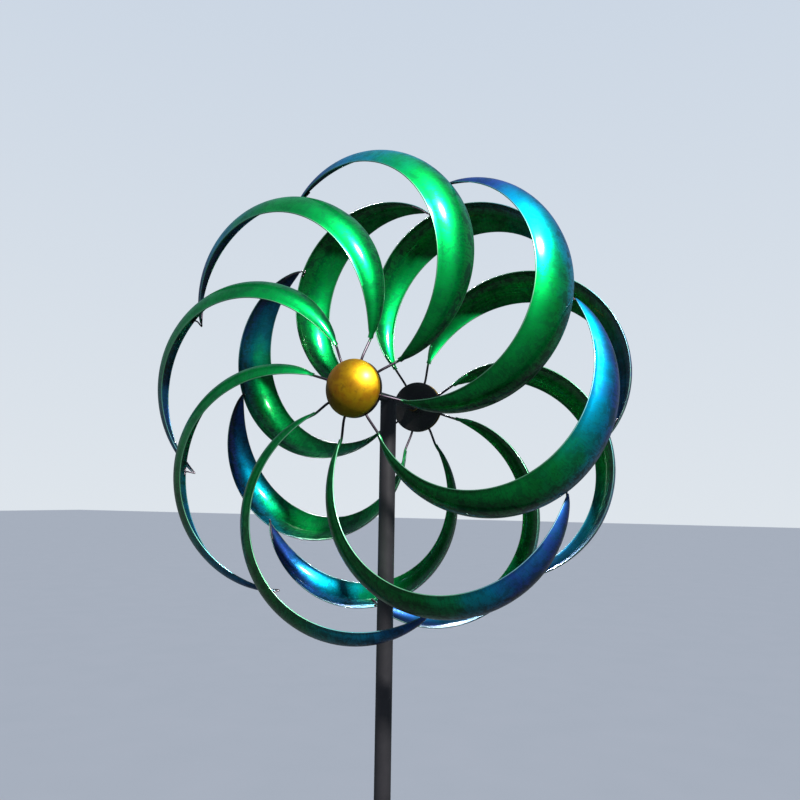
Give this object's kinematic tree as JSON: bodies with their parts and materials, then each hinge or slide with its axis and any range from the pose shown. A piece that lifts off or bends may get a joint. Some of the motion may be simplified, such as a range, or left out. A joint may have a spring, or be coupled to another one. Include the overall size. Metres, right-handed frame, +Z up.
{
  "type": "garden wind spinner",
  "caption": "Kinetic garden spinner: counter-facing rotors of crescent metal blades with domed hubs turn on a cross axle at the top of a staked steel pole.",
  "frame": {"origin": "on the pole's axis at ground level, where the centre spike leaves the step bar", "axes": "+Z up the pole, -Y the way the front rotor's dome faces, +X to the right when facing the front rotor from ahead of it"},
  "size_m": [0.6106, 0.2558, 2.1653],
  "materials": {
    "blade_metal": "glossy metallic green running to blue at the tip, mottled patina",
    "gold_dome": "mottled antique gold, satin gloss",
    "arm_rod": "dark painted rod, semi-gloss",
    "pole_paint": "charcoal powder coat, satin",
    "hub_paint": "black satin paint with light scratches",
    "axle_steel": "turned steel",
    "zinc_fasteners": "zinc plated",
    "bronze_bush": "sintered bronze, oiled"
  },
  "bodies": {
    "stand": {"ground_spike": "pole_paint", "step_bar": "pole_paint", "left_prong": "pole_paint", "right_prong": "pole_paint", "lower_pole": "pole_paint", "middle_pole": "pole_paint", "upper_pole": "pole_paint", "lock_screws": "zinc_fasteners", "cross_tube": "pole_paint", "axle": "axle_steel", "front_spacer": "bronze_bush", "rear_spacer": "bronze_bush", "front_end_washer": "zinc_fasteners", "rear_end_washer": "zinc_fasteners", "front_axle_nut": "zinc_fasteners", "rear_axle_nut": "zinc_fasteners"},
    "front_rotor": {"front_hub_sleeve": "hub_paint", "front_inner_bush": "bronze_bush", "front_outer_bush": "bronze_bush", "front_back_disc": "hub_paint", "front_dome_cap": "gold_dome", "front_arm_1": "arm_rod", "front_arm_2": "arm_rod", "front_arm_3": "arm_rod", "front_arm_4": "arm_rod", "front_arm_5": "arm_rod", "front_arm_6": "arm_rod", "front_arm_7": "arm_rod", "front_arm_8": "arm_rod", "front_blade_1": "blade_metal", "front_blade_2": "blade_metal", "front_blade_3": "blade_metal", "front_blade_4": "blade_metal", "front_blade_5": "blade_metal", "front_blade_6": "blade_metal", "front_blade_7": "blade_metal", "front_blade_8": "blade_metal", "front_tip_links": "arm_rod"},
    "rear_rotor": {"rear_hub_sleeve": "hub_paint", "rear_inner_bush": "bronze_bush", "rear_outer_bush": "bronze_bush", "rear_back_disc": "hub_paint", "rear_dome_cap": "gold_dome", "rear_arm_1": "arm_rod", "rear_arm_2": "arm_rod", "rear_arm_3": "arm_rod", "rear_arm_4": "arm_rod", "rear_arm_5": "arm_rod", "rear_arm_6": "arm_rod", "rear_arm_7": "arm_rod", "rear_arm_8": "arm_rod", "rear_blade_1": "blade_metal", "rear_blade_2": "blade_metal", "rear_blade_3": "blade_metal", "rear_blade_4": "blade_metal", "rear_blade_5": "blade_metal", "rear_blade_6": "blade_metal", "rear_blade_7": "blade_metal", "rear_blade_8": "blade_metal", "rear_tip_links": "arm_rod"}
  },
  "joints": [
    {"name": "front_rotor_spin", "type": "hinge", "parent": "stand", "child": "front_rotor", "pos_m": [0, -0.103, 1.6], "axis": [0, 1, 0], "continuous": true},
    {"name": "rear_rotor_spin", "type": "hinge", "parent": "stand", "child": "rear_rotor", "pos_m": [0, 0.103, 1.6], "axis": [0, 1, 0], "continuous": true}
  ]
}
